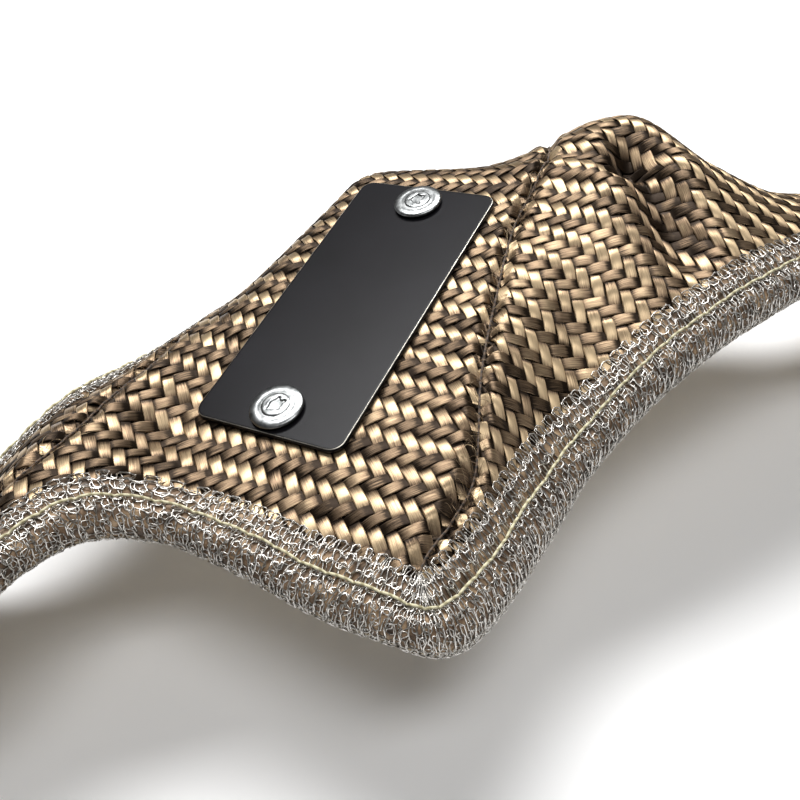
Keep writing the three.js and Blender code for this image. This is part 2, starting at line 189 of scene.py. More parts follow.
def beside(start, end, x, y):
    """Share of the way along a fold line, and distance beside it."""
    dx, dy = end[0] - start[0], end[1] - start[1]
    length = math.hypot(dx, dy)
    share = ((x - start[0]) * dx + (y - start[1]) * dy) / length**2
    off = ((x - start[0]) * dy - (y - start[1]) * dx) / length
    return share, off


def into_plate(x, y):
    """Place along and over the plate, in plan."""
    dx, dy = x - PLATE_CENTRE[0], y - PLATE_CENTRE[1]
    c, s = math.cos(PLATE_HEADING), math.sin(PLATE_HEADING)
    return dx * c + dy * s, dy * c - dx * s


def slack(x, y):
    """Rise of the slack cloth on the hump: straight valleys and round puffs, each a bell across."""
    rise = np.zeros(np.shape(x))
    for start, end, depth, width in PLEATS:
        share, off = beside(start, end, x, y)
        rise = rise - depth * np.exp(-(((share - 0.5) / 0.55) ** 4) - (off / width) ** 2)
    for place, puff, width in PUFFS:
        rise = rise + puff * np.exp(-((np.hypot(x - place[0], y - place[1]) / width) ** 2))
    return rise


def cloth_height(x, y):
    """Form with its dart ridge and slack cloth, pressed flat under the plate and fading out round it."""
    share, off = beside(DART_START, DART_END, x, y)
    bow = np.sin(np.pi * np.clip(share, 0, 1) ** 0.9)
    ridge = DART_RISE * bow * np.exp(-1.6 * np.hypot(off, 3) / DART_WIDTH)
    height = plain_height(x, y) + ridge + slack(x, y)
    along, over = into_plate(x, y)
    far_side = PLATE_FALL_FAR * (over - PLATE_WIDTH / 2 - PLATE_FLAT_FAR)
    beyond = np.where(over > 0, far_side, -over - PLATE_WIDTH / 2 - PLATE_FLAT_NEAR)
    past = np.hypot(np.maximum(np.abs(along) - PLATE_LENGTH / 2, 0), np.maximum(beyond, 0))
    under = PLATE_CENTRE[2] + PLATE_SLOPE[0] * (x - PLATE_CENTRE[0]) + PLATE_SLOPE[1] * (y - PLATE_CENTRE[1])
    return height + (under - PLATE_SEAT - height) * np.exp(-((past / PLATE_FADE) ** 2))


# The form as a fine map, read between its points
MAP_STEP = 0.5
MAP_X = np.arange(-190, 190.1, MAP_STEP)
MAP_Y = np.arange(-125, 125.1, MAP_STEP)


def read(field, x, y):
    """Value of a map at any place, bilinear between its points."""
    u = np.clip((x - MAP_X[0]) / MAP_STEP, 0, len(MAP_X) - 1.001)
    v = np.clip((y - MAP_Y[0]) / MAP_STEP, 0, len(MAP_Y) - 1.001)
    i, j = u.astype(int), v.astype(int)
    u, v = u - i, v - j
    low = field[i, j] * (1 - u) + field[i + 1, j] * u
    high = field[i, j + 1] * (1 - u) + field[i + 1, j + 1] * u
    return low * (1 - v) + high * v


map_x, map_y = np.meshgrid(MAP_X, MAP_Y, indexing="ij")
height_map = cloth_height(map_x, map_y)
plain_map = plain_height(map_x, map_y)
plain_dx, plain_dy = np.gradient(plain_map, MAP_STEP)
slant_map = np.sqrt(1 + plain_dx**2 + plain_dy**2)
slant_map = np.minimum(slant_map, np.minimum(MAX_SLANT, plain_map / FOOT_HEIGHT))
dx_map, dy_map = np.gradient(height_map, MAP_STEP)


def smooth_line(points, steps, closed, power):
    """Catmull-Rom line through the points: power 0 is its uniform form, 0.5 its centripetal one."""
    p = np.asarray(points, float)
    if closed:
        p0, p1, p2, p3 = np.roll(p, 1, 0), p, np.roll(p, -1, 0), np.roll(p, -2, 0)
    else:
        p = np.concatenate([p[:1], p, p[-1:]])
        p0, p1, p2, p3 = p[:-3], p[1:-2], p[2:-1], p[3:]

    def gap(a, b):
        return np.maximum(np.linalg.norm(b - a, axis=1), 1e-6)[:, None] ** power

    d0, d1, d2 = gap(p0, p1), gap(p1, p2), gap(p2, p3)
    start = ((p1 - p0) / d0 - (p2 - p0) / (d0 + d1) + (p2 - p1) / d1) * d1
    end = ((p2 - p1) / d1 - (p3 - p1) / (d1 + d2) + (p3 - p2) / d2) * d1
    t = (np.arange(steps) / steps)[None, :, None]
    line = (
        p1[:, None] * (2 * t**3 - 3 * t**2 + 1)
        + p2[:, None] * (3 * t**2 - 2 * t**3)
        + start[:, None] * (t**3 - 2 * t**2 + t)
        + end[:, None] * (t**3 - t**2)
    )
    line = line.reshape(-1, p.shape[1])
    return line if closed else np.concatenate([line, p[-1:]])


def signed_distance(line, closed):
    """Map of the distance to a line, positive on its left."""
    a = line if closed else line[:-1]
    b = np.roll(line, -1, 0) if closed else line[1:]
    coarse = np.stack([map_x[::2, ::2].ravel(), map_y[::2, ::2].ravel()], 1)
    parts = []
    for place in np.array_split(coarse, 60):
        offset = place[:, None] - a[None]
        span = (b - a)[None]
        t = np.clip((offset * span).sum(2) / (span**2).sum(2), 0, 1)
        away = np.hypot(*np.moveaxis(offset - t[..., None] * span, 2, 0))
        nearest = away.argmin(1)
        row = np.arange(len(place))
        side = span[0, nearest, 0] * offset[row, nearest, 1] - span[0, nearest, 1] * offset[row, nearest, 0]
        parts.append(away[row, nearest] * np.where(side >= 0, 1, -1))
    rough = np.concatenate(parts).reshape(map_x[::2, ::2].shape)
    fine = np.empty_like(map_x)
    fine[::2, ::2] = rough
    fine[1::2, ::2] = (rough[:-1] + rough[1:]) / 2
    fine[:, 1::2] = (fine[:, :-2:2] + fine[:, 2::2]) / 2
    return fine


edge_line = smooth_line(EDGE_POINTS, 12, True, 0.5)
inset_map = signed_distance(edge_line, True)
arm_seam = smooth_line(ARM_SEAM_POINTS, 8, False, 0)
dart_seam = smooth_line(DART_SEAM_POINTS, 8, False, 0)
arm_map = signed_distance(arm_seam, False)
dart_map = -signed_distance(dart_seam, False)


def groove(x, y):
    """Level change at the seams: the cloth rolls over a little, then dips into the seam."""
    off = np.minimum(np.abs(read(arm_map, x, y)), np.abs(read(dart_map, x, y)))
    return 0.35 * np.exp(-(((off - 2.8) / 1.4) ** 2)) - 1.8 * np.exp(-((off / 1.2) ** 2))


def lift(x, y, level):
    """Point at a level over the form."""
    return np.stack([x, y, read(height_map, x, y) + level * read(slant_map, x, y)], -1)


def upward(x, y):
    """Unit normal of the form."""
    dx, dy = read(dx_map, x, y), read(dy_map, x, y)
    return np.stack([-dx, -dy, np.ones_like(dx)], -1) / np.sqrt(1 + dx**2 + dy**2)[..., None]


# Outer edge by its length in space
edge_fine = smooth_line(EDGE_POINTS, 40, True, 0.5)
edge_space = lift(edge_fine[:, 0], edge_fine[:, 1], 0.0)
edge_steps = np.linalg.norm(np.roll(edge_space, -1, 0) - edge_space, axis=1)
edge_reached = np.concatenate([[0], np.cumsum(edge_steps)])
EDGE_LENGTH = edge_reached[-1]
EDGE_SAMPLES = 2400
edge_at = np.arange(EDGE_SAMPLES) / EDGE_SAMPLES * EDGE_LENGTH
edge_x = np.interp(edge_at, edge_reached, np.append(edge_fine[:, 0], edge_fine[0, 0]))
edge_y = np.interp(edge_at, edge_reached, np.append(edge_fine[:, 1], edge_fine[0, 1]))
edge_tx = np.roll(edge_x, -3) - np.roll(edge_x, 3)
edge_ty = np.roll(edge_y, -3) - np.roll(edge_y, 3)
edge_nx = -edge_ty / np.hypot(edge_tx, edge_ty)
edge_ny = edge_tx / np.hypot(edge_tx, edge_ty)
inset_steps = np.arange(0.5, 14, 0.5)
inset_x = edge_x[:, None] + edge_nx[:, None] * inset_steps
inset_y = edge_y[:, None] + edge_ny[:, None] * inset_steps
inset_free = read(inset_map, inset_x, inset_y) > inset_steps - 0.45
edge_room = np.where(inset_free.all(1), 14.0, 0.5 * inset_free.argmin(1) + 0.25)


def edge_place(s, inset):
    """Plan place at a length along the edge and an inset from it; a corner is mitred."""
    u = (s / EDGE_LENGTH * EDGE_SAMPLES) % EDGE_SAMPLES
    i = u.astype(int) % EDGE_SAMPLES
    k = (i + 1) % EDGE_SAMPLES
    t = u - np.floor(u)

    def between(table):
        return table[i] * (1 - t) + table[k] * t

    inset = np.minimum(inset, between(edge_room))
    return between(edge_x) + between(edge_nx) * inset, between(edge_y) + between(edge_ny) * inset


# Mesh helpers


def linear(hex_colour):
    """sRGB hex value to linear red, green, blue and alpha."""
    channels = [int(hex_colour[i : i + 2], 16) / 255 for i in (1, 3, 5)]
    return [c / 12.92 if c <= 0.04045 else ((c + 0.055) / 1.055) ** 2.4 for c in channels] + [1.0]


def make_piece(name, points, faces, finishes, uv=None, shade=None, face_finish=None, smooth=True):
    """Mesh piece from points in millimetres; uv and shade have one value for each point."""
    flat = np.concatenate([np.ravel(block) for block in faces])
    used, renumbered = np.unique(flat, return_inverse=True)
    starts, polygons = 0, []
    for block in faces:
        size = block.size
        polygons += renumbered[starts : starts + size].reshape(block.shape).tolist()
        starts += size
    place = (np.asarray(points).reshape(-1, 3)[used] - PLAN_CENTRE) * MM
    mesh = bpy.data.meshes.new(name)
    mesh.from_pydata(place, [], polygons)
    for finish in finishes:
        mesh.materials.append(finish)
    if face_finish is not None:
        mesh.polygons.foreach_set("material_index", np.asarray(face_finish, np.int32))
    mesh.polygons.foreach_set("use_smooth", np.full(len(mesh.polygons), smooth))
    corners = np.empty(len(mesh.loops), np.int32)
    mesh.loops.foreach_get("vertex_index", corners)
    if uv is not None:
        layer = mesh.uv_layers.new(name="lay")
        layer.data.foreach_set("uv", np.asarray(uv, np.float32).reshape(-1, 2)[used][corners].ravel())
    if shade is not None:
        tint = mesh.attributes.new("shade", "FLOAT", "POINT")
        tint.data.foreach_set("value", np.asarray(shade, np.float32).ravel()[used])
    mesh.update()
    piece = bpy.data.objects.new(name, mesh)
    bpy.context.scene.collection.objects.link(piece)
    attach(piece, "root")
    return piece


def strip_faces(strips, along, around, closed_along=False, keep=None):
    """Quads of strips laid out as (strip, along, around), round each section and along each strip."""
    index = np.arange(strips * along * around).reshape(strips, along, around)
    here = index if closed_along else index[:, :-1]
    there = np.roll(index, -1, 1) if closed_along else index[:, 1:]
    quads = np.stack([here, np.roll(here, -1, 2), np.roll(there, -1, 2), there], -1)
    return quads.reshape(-1, 4) if keep is None else quads[keep].reshape(-1, 4)


def tubes(lines, up, radius, sides, closed_along=False):
    """Round tubes on lines laid out as (line, point, 3): a ring round each point, square to the line."""
    ahead = np.roll(lines, -1, 1) - np.roll(lines, 1, 1)
    if not closed_along:
        ahead[:, 0] = lines[:, 1] - lines[:, 0]
        ahead[:, -1] = lines[:, -1] - lines[:, -2]
    ahead /= np.linalg.norm(ahead, axis=2, keepdims=True) + 1e-9
    aside = np.cross(ahead, up)
    aside /= np.linalg.norm(aside, axis=2, keepdims=True) + 1e-9
    over = np.cross(aside, ahead)
    turn = np.arange(sides) / sides * 2 * np.pi
    radius = np.asarray(radius)[..., None, None] if np.ndim(radius) else radius
    ring = aside[:, :, None] * np.cos(turn)[:, None] + over[:, :, None] * np.sin(turn)[:, None]
    return lines[:, :, None] + radius * ring


def ripple(place, seed, wavelengths):
    """Smooth wander with a size of about one: waves of a few lengths with seeded phases."""
    chance = np.random.default_rng(seed)
    total = np.zeros(np.shape(place))
    for wavelength in wavelengths:
        total = total + np.sin(place * 2 * np.pi / wavelength + chance.uniform(0, 2 * np.pi))
    return total / math.sqrt(len(wavelengths))


# Materials


def add_node(material, kind, inputs=None, stops=None, **settings):
    """Add a node, set it up, and feed its inputs with values or with other nodes' outputs.

    The stops of a colour ramp are pairs of position and hex colour.
    """
    tree = material.node_tree
    node = tree.nodes.new(kind)
    for name, value in settings.items():
        setattr(node, name, value)
    for socket, value in (inputs or {}).items():
        if isinstance(value, bpy.types.NodeSocket):
            tree.links.new(value, node.inputs[socket])
        else:
            node.inputs[socket].default_value = value
    if stops:
        elements = node.color_ramp.elements
        while len(elements) < len(stops):
            elements.new(0.5)
        for element, (position, colour) in zip(elements, stops):
            element.position = position
            element.color = linear(colour)
    return node


def new_finish(name, shader_inputs):
    """Material with one Principled shader, given its constants straight on the sockets."""
    material = bpy.data.materials.new(name)
    material.use_nodes = True
    material.node_tree.nodes.clear()
    shader = add_node(material, "ShaderNodeBsdfPrincipled", shader_inputs)
    add_node(material, "ShaderNodeOutputMaterial", {"Surface": shader.outputs[0]})
    return material, shader


def basalt_tow():
    """Untwisted basalt filaments in a flat tow: silky, so its highlight runs across the filaments."""
    material, shader = new_finish("basalt_tow", {"Metallic": 0.8, "Roughness": 0.48, "Anisotropic": 0.8})
    lay = add_node(material, "ShaderNodeUVMap", uv_map="lay").outputs["UV"]
    # Filaments are drawn 0.1 mm wide, ten times as coarse as real ones, so that they show
    drawn_out = add_node(material, "ShaderNodeMapping", {"Vector": lay, "Scale": (26, 0.25, 1)})
    strand_noise = {"Vector": drawn_out.outputs["Vector"], "Scale": 1.0, "Detail": 2.0}
    strands = add_node(material, "ShaderNodeTexNoise", strand_noise).outputs["Fac"]
    # The shade attribute brings the weave's painted light and painted shade, and its random tone, into the
    # colour
    shade = add_node(material, "ShaderNodeAttribute", attribute_name="shade").outputs["Fac"]
    tone = add_node(material, "ShaderNodeMath", {0: strands, 1: shade}, operation="ADD").outputs[0]
    stops = [(0.2, "#2c2219"), (0.48, "#8f7860"), (0.78, "#cfb793")]
    colour = add_node(material, "ShaderNodeValToRGB", {"Fac": tone}, stops).outputs["Color"]
    material.node_tree.links.new(colour, shader.inputs["Base Color"])
    bump = add_node(material, "ShaderNodeBump", {"Height": strands, "Strength": 0.35, "Distance": 0.0001})
    material.node_tree.links.new(bump.outputs["Normal"], shader.inputs["Normal"])
    tangent = add_node(material, "ShaderNodeTangent", direction_type="UV_MAP", uv_map="lay")
    material.node_tree.links.new(tangent.outputs["Tangent"], shader.inputs["Tangent"])
    return material


def cloth_finish(name, colours, pitch, roughness, depth):
    """Plain cloth from its object coordinates: threads at the given pitch, colour in clouds of about 3 mm."""
    material, shader = new_finish(name, {"Roughness": roughness, "Sheen Weight": 0.1})
    place = add_node(material, "ShaderNodeTexCoord").outputs["Object"]
    cloud_noise = {"Vector": place, "Scale": 320.0, "Detail": 3.0}
    cloud = add_node(material, "ShaderNodeTexNoise", cloud_noise).outputs["Fac"]
    colour = add_node(material, "ShaderNodeValToRGB", {"Fac": cloud}, colours).outputs["Color"]
    material.node_tree.links.new(colour, shader.inputs["Base Color"])
    heights = []
    for axis in ("X", "Y"):
        wave = add_node(
            material,
            "ShaderNodeTexWave",
            {"Vector": place, "Scale": 2 * math.pi / (pitch * MM) / 20, "Distortion": 0.6, "Detail": 1.0},
            bands_direction=axis,
        )
        heights.append(wave.outputs["Fac"])
    weave = add_node(material, "ShaderNodeMath", {0: heights[0], 1: heights[1]}, operation="MAXIMUM")
    bump = add_node(
        material, "ShaderNodeBump", {"Height": weave.outputs[0], "Strength": 0.6, "Distance": depth * MM}
    )
    material.node_tree.links.new(bump.outputs["Normal"], shader.inputs["Normal"])
    return material


def metal_finish(name, colours, roughness, scale, relief):
    """Bare or plated metal: its colour and relief mottle over one or two millimetres and finer."""
    material, shader = new_finish(name, {"Metallic": 1.0, "Roughness": roughness})
    place = add_node(material, "ShaderNodeTexCoord").outputs["Object"]
    mottle_noise = {"Vector": place, "Scale": scale, "Detail": 4.0}
    mottle = add_node(material, "ShaderNodeTexNoise", mottle_noise).outputs["Fac"]
    colour = add_node(material, "ShaderNodeValToRGB", {"Fac": mottle}, colours).outputs["Color"]
    material.node_tree.links.new(colour, shader.inputs["Base Color"])
    bump = add_node(material, "ShaderNodeBump", {"Height": mottle, "Strength": relief, "Distance": 0.0001})
    material.node_tree.links.new(bump.outputs["Normal"], shader.inputs["Normal"])
    return material


def anodised_plate():
    """Black anodised aluminium sheet: satin, with faint marks some 25 mm wide and a grain of 0.25 mm."""
    material, shader = new_finish(
        "anodised_aluminium", {"Metallic": 0.0, "Roughness": 0.3, "Specular IOR Level": 0.12}
    )
    place = add_node(material, "ShaderNodeTexCoord").outputs["Object"]
    mark_noise = {"Vector": place, "Scale": 40.0, "Detail": 5.0}
    marks = add_node(material, "ShaderNodeTexNoise", mark_noise).outputs["Fac"]
    stops = [(0.3, "#100f12"), (0.7, "#18171b")]
    colour = add_node(material, "ShaderNodeValToRGB", {"Fac": marks}, stops).outputs["Color"]
    material.node_tree.links.new(colour, shader.inputs["Base Color"])
    grain_noise = {"Vector": place, "Scale": 4000.0, "Detail": 1.0}
    grain = add_node(material, "ShaderNodeTexNoise", grain_noise).outputs["Fac"]
    bump = add_node(material, "ShaderNodeBump", {"Height": grain, "Strength": 0.15, "Distance": 0.00005})
    material.node_tree.links.new(bump.outputs["Normal"], shader.inputs["Normal"])
    return material


def twisted_thread(name, dark, light, pitch):
    """Twisted thread: slanting plies read from the piece's own length and turn."""
    material, shader = new_finish(name, {"Roughness": 0.6, "Sheen Weight": 0.2})
    lay = add_node(material, "ShaderNodeUVMap", uv_map="lay").outputs["UV"]
    twist = add_node(material, "ShaderNodeMapping", {"Vector": lay, "Scale": (1, 1 / pitch, 1)})
    plies = add_node(
        material,
        "ShaderNodeTexWave",
        {"Vector": twist.outputs["Vector"], "Scale": 0.314, "Distortion": 0.5},
        bands_direction="DIAGONAL",
    ).outputs["Fac"]
    stops = [(0.1, dark), (0.6, light)]
    colour = add_node(material, "ShaderNodeValToRGB", {"Fac": plies}, stops).outputs["Color"]
    material.node_tree.links.new(colour, shader.inputs["Base Color"])
    bump = add_node(material, "ShaderNodeBump", {"Height": plies, "Strength": 0.5, "Distance": 0.0001})
    material.node_tree.links.new(bump.outputs["Normal"], shader.inputs["Normal"])
    return material


TOW = basalt_tow()
# The backing's near-black colour is painted shade, seen in the gaps between the tows
BACKING = cloth_finish("basalt_backing_painted_shade", [(0.3, "#1f1813"), (0.7, "#3a2c20")], 1.2, 0.8, 0.1)
BINDING_CLOTH = cloth_finish(
    "binding_cloth", [(0.35, "#4a3a2b"), (0.52, "#876d53"), (0.66, "#bfa382")], 2.5, 0.6, 0.3
)
LINER = cloth_finish("glass_liner_cloth", [(0.3, "#a8987c"), (0.7, "#c4b598")], 1.2, 0.75, 0.15)
MAT = cloth_finish("needled_mat", [(0.3, "#cfc7b6"), (0.7, "#e6e0d2")], 3.0, 0.95, 0.3)
WIRE = metal_finish("stainless_wire", [(0.35, "#b5b0a8"), (0.65, "#f6f3ee")], 0.34, 900.0, 0.1)
ZINC = metal_finish("zinc_plate", [(0.35, "#727474"), (0.6, "#a9abab")], 0.3, 700.0, 0.2)
BARE_EDGE = metal_finish("bare_aluminium", [(0.35, "#a9a59a"), (0.65, "#d8d4c8")], 0.35, 500.0, 0.1)
PLATE = anodised_plate()
STITCH = twisted_thread("aramid_thread", "#a89f7a", "#ddd6b4", 0.9)
SEAM_THREAD = twisted_thread("seam_thread", "#2a2018", "#5e4936", 0.7)


# Woven panels


def relax(net, length, rounds):
    """Move a net of crossings over the form until neighbours are one length apart on it."""
    for _ in range(rounds):
        height = read(height_map, net[..., 0], net[..., 1])
        move = np.zeros_like(net)
        for axis in (0, 1):
            flat = np.diff(net, axis=axis)
            rise = np.diff(height, axis=axis)
            apart = np.sqrt((flat**2).sum(2) + rise**2)
            push = 0.22 * (1 - length / apart)[..., None] * flat
            first = [slice(None)] * 2
            last = [slice(None)] * 2
            first[axis], last[axis] = slice(None, -1), slice(1, None)
            move[tuple(first)] += push
            move[tuple(last)] -= push
        net = net + move
    return net


def halve(net, axis):
    """Net with a crossing added between each two."""
    count = net.shape[axis]
    whole = np.repeat(net, 2, axis=axis)
    whole = np.take(whole, np.arange(2 * count - 1), axis=axis)
    first = np.take(whole, np.arange(1, 2 * count - 1, 2), axis=axis)
    second = np.take(whole, np.arange(2, 2 * count, 2), axis=axis)
    odd = [slice(None)] * net.ndim
    odd[axis] = slice(1, None, 2)
    whole[tuple(odd)] = (first + second) / 2
    return whole


def crossing_net(anchor, weft_heading, warp_heading, low, high, bend):
    """Net from coarse to fine, from straight lines through the anchor; bend lowers the weft at the left."""
    weft = np.array([math.cos(math.radians(weft_heading)), math.sin(math.radians(weft_heading))])
    warp = np.array([math.cos(math.radians(warp_heading)), math.sin(math.radians(warp_heading))])
    i, j = np.meshgrid(np.arange(low[0], high[0] + 1, 8), np.arange(low[1], high[1] + 1, 8), indexing="ij")
    net = np.array(anchor) + TOW_PITCH * (i[..., None] * weft + j[..., None] * warp)
    net[..., 1] -= bend * 10 * np.log1p(np.exp(-(net[..., 0] + 58) / 10))
    fixed = (-low[0] // 8, -low[1] // 8)
    for step in (8, 4, 2, 1):
        net = relax(net, TOW_PITCH * step, 240 if step == 8 else 60)
        net += np.array(anchor) - net[fixed[0] * 8 // step, fixed[1] * 8 // step]
        if step > 1:
            net = halve(halve(net, 0), 1)
    return net


def woven_panel(name, node, net, low, inside, seed, painted_panel_light):
    """Two sets of flat tows in a two-by-two twill.

    A tow is over the two crossings where the sum of its numbers is 0 or 1 past a multiple of 4, and
    its middle follows a raised cosine, so that it bows over those two tows and dives under the next two.
    Its section has two edges, a flat crown and a keel, and its width fills the room between its neighbours.
    Its colour darkens with painted shade where it dives, more so ahead, and in the valleys of the slack
    cloth;
    the weft carries painted shade, and the warp and the brighter panels carry painted light.
    """
    stations = np.array([-1.0, -0.7, -0.38, 0.0, 0.38, 0.7, 1.0, 2.0])
    across = np.array([-1.0, -0.78, 0.78, 1.0, 0.0])
    crown = np.array([-0.1, 0.92, 0.92, -0.1, -0.9])
    flat_u = np.array([0.0, 0.11, 0.89, 1.0, 0.5])
    chance = np.random.default_rng(seed)
    counts = net.shape[:2]
    pieces = []
    for direction, kind in ((0, "weft"), (1, "warp")):
        number = np.arange(1, counts[1 - direction] - 1)
        shift = 0.5 if direction == 0 else 2.5
        periods = np.arange(-1, counts[direction] // 4 + 1)
        phase = (shift - (number + low[1 - direction]) - low[direction]) % 4
        run = (4 * periods[:, None] + stations).ravel()
        wave = np.tile(np.cos(stations * np.pi / 2), len(periods))
        # How far a station lies into a float's forward half, for the painted shade at that end
        ahead = np.tile(np.clip(stations, 0, 1), len(periods))
        along = phase[:, None] + run
        along = along + 0.05 * chance.standard_normal(along.shape) * (np.abs(wave) < 0.9)
        valid = (along >= 0) & (along <= counts[direction] - 1)
        along = np.clip(along, 0, counts[direction] - 1)
        width = 0.5 * (0.97 + 0.03 * chance.standard_normal((len(number), 1)))
        width = width * (1 + 0.05 * np.sin(along * 1.9 + number[:, None] * 2.3))
        swing = np.sign(wave) * np.abs(wave) ** 0.75 * TOW_SWING
        swing = swing * (1 + 0.08 * chance.standard_normal(along.shape))
        drift = 0.05 * np.sin(along * 0.9 + number[:, None] * 1.7)
        side = number[:, None, None] + drift[..., None] + width[..., None] * across
        place = np.broadcast_to(along[..., None], side.shape)
        first, second = (place, side) if direction == 0 else (side, place)
        i = np.clip(first.astype(int), 0, counts[0] - 2)
        j = np.clip(second.astype(int), 0, counts[1] - 2)
        u, v = (first - i)[..., None], (second - j)[..., None]
        below = net[i, j] * (1 - u) + net[i + 1, j] * u
        above = net[i, j + 1] * (1 - u) + net[i + 1, j + 1] * u
        plan = below * (1 - v) + above * v
        x, y = plan[..., 0], plan[..., 1]
        level = TOW_MIDDLE + swing[..., None] + TOW_HALF_THICKNESS * crown + groove(x, y)
        points = lift(x, y, level)
        middle = 0.5 * (points[:, :, 0] + points[:, :, 3])
        room = inside(middle[..., 0], middle[..., 1])
        within = (room > 0) & valid
        # The first section outside the panel is drawn back to the panel's edge
        share = room[:, :-1] / (room[:, :-1] - room[:, 1:] + 1e-9)
        leaving = (within[:, :-1] & ~within[:, 1:] & valid[:, 1:])[..., None, None]
        coming = (~within[:, :-1] & within[:, 1:] & valid[:, :-1])[..., None, None]
        cut = points[:, :-1] + (points[:, 1:] - points[:, :-1]) * np.clip(share, 0, 1)[..., None, None]
        points[:, 1:] = np.where(leaving, cut, points[:, 1:])
        points[:, :-1] = np.where(coming, cut, points[:, :-1])
        keep = (within[:, :-1] | within[:, 1:]) & valid[:, :-1] & valid[:, 1:]
        quads = strip_faces(len(number), along.shape[1], 5, keep=keep)
        section = np.arange(points[..., 0].size).reshape(points.shape[:3])
        begins = np.zeros_like(valid)
        ends = np.zeros_like(valid)
        begins[:, :-1] = keep & ~np.pad(keep, ((0, 0), (1, 0)))[:, :-1]
        ends[:, 1:] = keep & ~np.pad(keep, ((0, 0), (0, 1)))[:, 1:]
        caps = np.concatenate([section[begins], section[ends][:, ::-1]])
        if direction == 1:
            quads, caps = quads[:, ::-1], caps[:, ::-1]
        run_length = along[..., None] * TOW_PITCH + number[:, None, None] * 37
        uv = np.stack(np.broadcast_arrays(flat_u, run_length), -1)
        # Painted shade on the weft and painted light on the warp, plus random tone for each tow
        tone = DIRECTION_PAINTED_SHADE_AND_LIGHT[direction] + 0.08 * chance.standard_normal((len(number), 1))
        # Random tone along each tow, and painted shade that darkens each float towards its ends, where it
        # dives
        tone = tone + 0.06 * np.sin(along * 0.35 + number[:, None]) - 0.35 * np.clip(1 - wave, 0, 1) ** 2
        # Painted light over the whole panel, and painted shade towards the forward end of each float
        tone = tone + painted_panel_light - 0.3 * ahead**2
        # Painted shade in the valleys of the slack cloth
        tone = (tone + 0.05 * np.minimum(slack(middle[..., 0], middle[..., 1]), 0))[..., None]
        shade = np.broadcast_to(tone, side.shape)
        piece = make_piece(f"{name}_{kind}_tows", points, [quads, caps], [TOW], uv=uv, shade=shade)
        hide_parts(node)
        pieces.append(piece)
    return pieces


def panel_room(x, y):
    """Room inside the binding's inner rim, which covers the ends of the tows."""
    return read(inset_map, x, y) - PANEL_INSET


def inside_back(x, y):
    """Room on the back panel: the distance behind the arm seam."""
    return np.minimum(panel_room(x, y), read(arm_map, x, y) - SEAM_GAP)


def inside_tag(x, y):
    """Room on the tag panel: the smaller distance from the arm seam and from the dart seam."""
    between = np.minimum(-read(arm_map, x, y), -read(dart_map, x, y)) - SEAM_GAP
    return np.minimum(panel_room(x, y), between)


def inside_right(x, y):
    """Room on the right panel: the distance to the right of the dart seam."""
    return np.minimum(panel_room(x, y), read(dart_map, x, y) - SEAM_GAP)


TAG_LOW, TAG_HIGH = (-56, -40), (32, 40)
RIGHT_LOW, RIGHT_HIGH = (-24, -40), (64, 56)
BACK_LOW, BACK_HIGH = (-48, -32), (32, 32)
tag_net = crossing_net(PLATE_CENTRE[:2], 18.4, 108.4, TAG_LOW, TAG_HIGH, 0.25)
right_net = crossing_net((25.0, 5.0), 3.0, 103.0, RIGHT_LOW, RIGHT_HIGH, 0.0)
back_net = crossing_net((-100.0, -30.0), 24.0, 112.0, BACK_LOW, BACK_HIGH, 0.0)
# The last number is painted light over each panel's tows, most on the right panel
woven_panel("tag_panel", "cover_panel_tag", tag_net, TAG_LOW, inside_tag, 11, 0.02)
woven_panel("right_panel", "cover_panel_right", right_net, RIGHT_LOW, inside_right, 12, 0.12)
woven_panel("back_panel", "cover_panel_back", back_net, BACK_LOW, inside_back, 13, 0.0)


# Closed layers between the two long sides


def layer_shell(name, inset, top, bottom, along, across, finish):
    """Closed layer: lines run from the near side of the outline to the far side, on top and back below.

    The place on a line is a blend of its two ends, which are the same share along the near and far sides.
    """
    share = np.linspace(0.004, 0.996, along)[:, None]
    left = edge_at[np.hypot(edge_x - LEFT_TIP[0], edge_y - LEFT_TIP[1]).argmin()]
    right = edge_at[np.hypot(edge_x - RIGHT_TIP[0], edge_y - RIGHT_TIP[1]).argmin()]
    near_x, near_y = edge_place(left + share * ((right - left) % EDGE_LENGTH), np.full_like(share, inset))
    far_x, far_y = edge_place(left - share * ((left - right) % EDGE_LENGTH), np.full_like(share, inset))
    over = np.linspace(0, 1, across)[None]
    # Points lie closer together near the two sides
    over = over - 0.08 * np.sin(2 * np.pi * over) / (2 * np.pi) * 6
    x = near_x + (far_x - near_x) * over
    y = near_y + (far_y - near_y) * over
    upper = lift(x, y, top(x, y))
    lower = lift(x, y, bottom(x, y))
    section = np.concatenate([upper, lower[:, ::-1]], 1)
    rings = section.shape[1]
    quads = strip_faces(1, along, rings)[:, ::-1]
    index = np.arange(along * rings).reshape(along, rings)
    ends = []
    for row, turned in ((0, False), (along - 1, True)):
        up, down = index[row, :across], index[row, across:][::-1]
        caps = np.stack([up[:-1], up[1:], down[1:], down[:-1]], -1)
        ends.append(caps[:, ::-1] if turned else caps)
    return make_piece(name, section, [quads, *ends], [finish])


def mat_base(x, y):
    """Level of the mat's underside: thin in the binding, full thickness well inside it."""
    start = BINDING_WIDTH + 15.7
    share = np.clip((read(inset_map, x, y) - start) / 14, 0, 1)
    share = share * share * (3 - 2 * share)
    return -COVER_THICKNESS - CLEARANCE - MAT_EDGE_THICKNESS - share * (MAT_THICKNESS - MAT_EDGE_THICKNESS)


